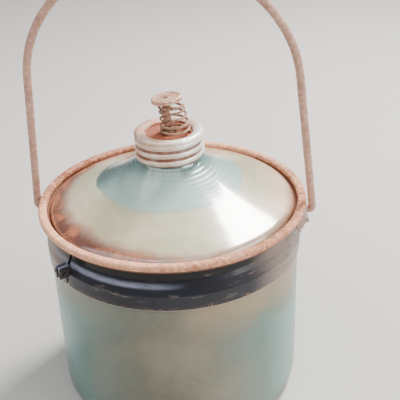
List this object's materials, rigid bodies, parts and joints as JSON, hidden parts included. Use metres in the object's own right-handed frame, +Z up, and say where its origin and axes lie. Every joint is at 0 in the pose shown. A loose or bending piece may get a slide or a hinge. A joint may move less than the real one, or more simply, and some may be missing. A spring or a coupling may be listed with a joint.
{
  "type": "glass stove fuel bottle",
  "caption": "Squat glass fuel bottle with a domed top, a steel collar with a rolled ring, a wire bail and a screw cap that holds a spring-loaded push valve.",
  "frame": {"origin": "centre of the base, where the bottle stands", "axes": "+Z up along the bottle's axis, X along the bail's pivot axis, -Y towards the front"},
  "size_m": [0.1826, 0.17, 0.2899],
  "materials": {
    "jar_glass": "old aqua pressed glass, clear with a fuel film inside",
    "black_steel": "worn black japan on sheet steel, rusting along its edges",
    "rusty_steel": "bare steel with an even, pinkish-brown rust",
    "fastener_steel": "dark blackened steel",
    "bail_steel": "rusted round steel wire",
    "cap_tin": "worn tin plate with rust showing in the recess",
    "valve_steel": "rusted steel",
    "valve_brass": "dull brass",
    "gasket_cork": "dark cork",
    "washer_leather": "oiled leather"
  },
  "bodies": {
    "bottle": {"glass_jar": "jar_glass", "collar_band": "black_steel", "clamp_screw": "fastener_steel", "clamp_nut": "fastener_steel", "rim_ring_front": "rusty_steel", "rim_ring_back": "rusty_steel", "rim_ring_left": "rusty_steel", "bail_ear_right": "rusty_steel", "bail_ear_left": "rusty_steel"},
    "bail": {"bail": "bail_steel"},
    "gasket": {"cap_gasket": "gasket_cork"},
    "cap": {"cap_shell": "cap_tin", "valve_seat": "valve_brass", "valve_guide": "valve_brass", "valve_spring": "valve_steel"},
    "plunger": {"push_button": "valve_steel", "valve_stem": "valve_steel", "valve_washer": "washer_leather", "valve_disc": "valve_steel", "stem_nut": "valve_steel"}
  },
  "joints": [
    {"name": "bail_swing", "type": "hinge", "parent": "bottle", "child": "bail", "pos_m": [0, 0, 0.125], "axis": [1, 0, 0], "range_deg": [-125, 105]},
    {"name": "cap_lift", "type": "slide", "parent": "bottle", "child": "gasket", "axis": [0, 0, 1], "range_m": [0, 0.015]},
    {"name": "cap_turn", "type": "hinge", "parent": "gasket", "child": "cap", "pos_m": [0, 0, 0.17], "axis": [0, 0, 1], "range_deg": [0, 1080]},
    {"name": "valve_push", "type": "slide", "parent": "cap", "child": "plunger", "axis": [0, 0, -1], "range_m": [0, 0.005], "stiffness_N_per_m": 600, "springref_m": -0.008, "deforming": ["valve_spring"]}
  ],
  "couplings": [
    {"joint": "cap_lift", "follows": "cap_turn", "m_per_rad": 0.00079577}
  ]
}
